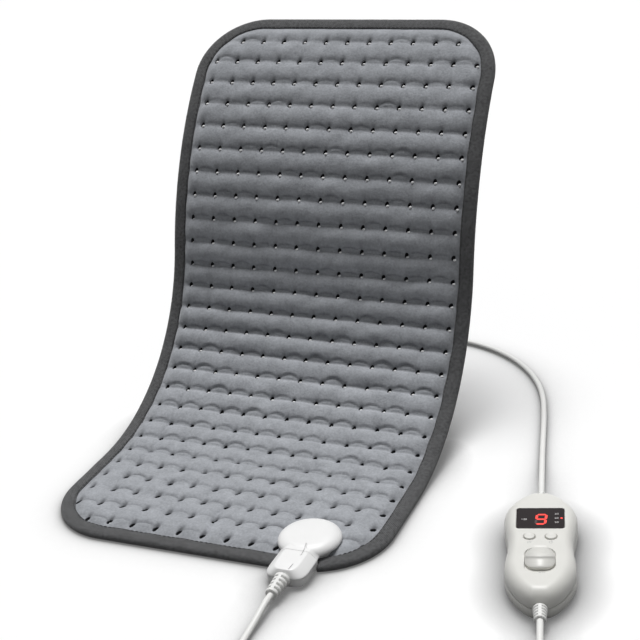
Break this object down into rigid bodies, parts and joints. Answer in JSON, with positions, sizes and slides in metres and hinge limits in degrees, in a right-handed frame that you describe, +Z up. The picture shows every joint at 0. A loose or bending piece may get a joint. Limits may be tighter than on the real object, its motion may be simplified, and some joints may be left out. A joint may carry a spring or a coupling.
{
  "type": "heating pad with controller",
  "caption": "Tufted grey heating pad bound in dark tape, standing bent as a seat and back, with a plug-in lead, a white hand controller and a coiled mains cord",
  "frame": {"origin": "centre of the flat seat's underside, on the floor", "axes": "+Z up, +Y from the pad's front edge towards its back, +X to the right seen from the front, towards the controller"},
  "size_m": [0.4665, 0.6726, 0.3314],
  "materials": {
    "grey_plush": "plush knit, matt",
    "dark_tape": "woven tape, matt",
    "carrier_felt": "needled felt",
    "wire_jacket": "silicone jacket",
    "white_plastic": "moulded, satin",
    "white_rubber": "soft vinyl, satin",
    "dark_window": "polished",
    "black_plastic": "moulded",
    "red_lamp": "diffused lens",
    "board_green": "solder resist",
    "amber_film": "dipped resin",
    "contact_brass": "plated",
    "plain_steel": "zinc plated"
  },
  "bodies": {
    "pad": {"top_cover": "grey_plush", "bottom_cover": "grey_plush", "felt_carrier": "carrier_felt", "heating_wire": "wire_jacket", "thermal_cutout": "black_plastic", "edge_binding": "dark_tape", "socket_upper_shell": "white_plastic", "socket_lower_shell": "white_plastic", "socket_pin_left": "contact_brass", "socket_pin_right": "contact_brass"},
    "cordset": {"plug_upper_shell": "white_plastic", "plug_lower_shell": "white_plastic", "contact_sleeve_left": "contact_brass", "contact_sleeve_right": "contact_brass", "plug_boot": "white_rubber", "front_case": "white_plastic", "back_case": "white_plastic", "display_window": "dark_window", "digit_display": "black_plastic", "timer_lamp_1": "red_lamp", "timer_lamp_2": "red_lamp", "timer_lamp_3": "red_lamp", "timer_lamp_4": "red_lamp", "circuit_board": "board_green", "heat_tact_switch": "black_plastic", "timer_tact_switch": "black_plastic", "slide_switch": "plain_steel", "triac": "black_plastic", "film_capacitor": "amber_film", "mains_fuse": "plain_steel", "control_chip": "black_plastic", "case_screw_1": "plain_steel", "case_screw_2": "plain_steel", "case_screw_3": "plain_steel", "case_screw_4": "plain_steel", "mains_relief": "white_rubber", "lead_relief": "white_rubber", "pad_lead": "white_rubber", "mains_cord": "white_rubber", "mains_coil": "white_rubber", "coil_tie": "black_plastic", "mains_tail": "white_rubber", "mains_plug_boot": "white_rubber", "mains_plug_body": "white_rubber", "plug_blade_left": "contact_brass", "plug_blade_right": "contact_brass"},
    "heat_button": {"heat_button": "white_plastic"},
    "timer_button": {"timer_button": "white_plastic"},
    "power_slider": {"power_slider": "white_plastic"}
  },
  "joints": [
    {"name": "connector_pull", "type": "slide", "parent": "pad", "child": "cordset", "axis": [0, -1, 0], "range_m": [0, 0.016]},
    {"name": "heat_press", "type": "slide", "parent": "cordset", "child": "heat_button", "axis": [0, 0, -1], "range_m": [0, 0.0006], "stiffness_N_per_m": 600},
    {"name": "timer_press", "type": "slide", "parent": "cordset", "child": "timer_button", "axis": [0, 0, -1], "range_m": [0, 0.0006], "stiffness_N_per_m": 600},
    {"name": "power_slide", "type": "slide", "parent": "cordset", "child": "power_slider", "axis": [0.2538, -0.9673, 0], "range_m": [0, 0.007]}
  ]
}
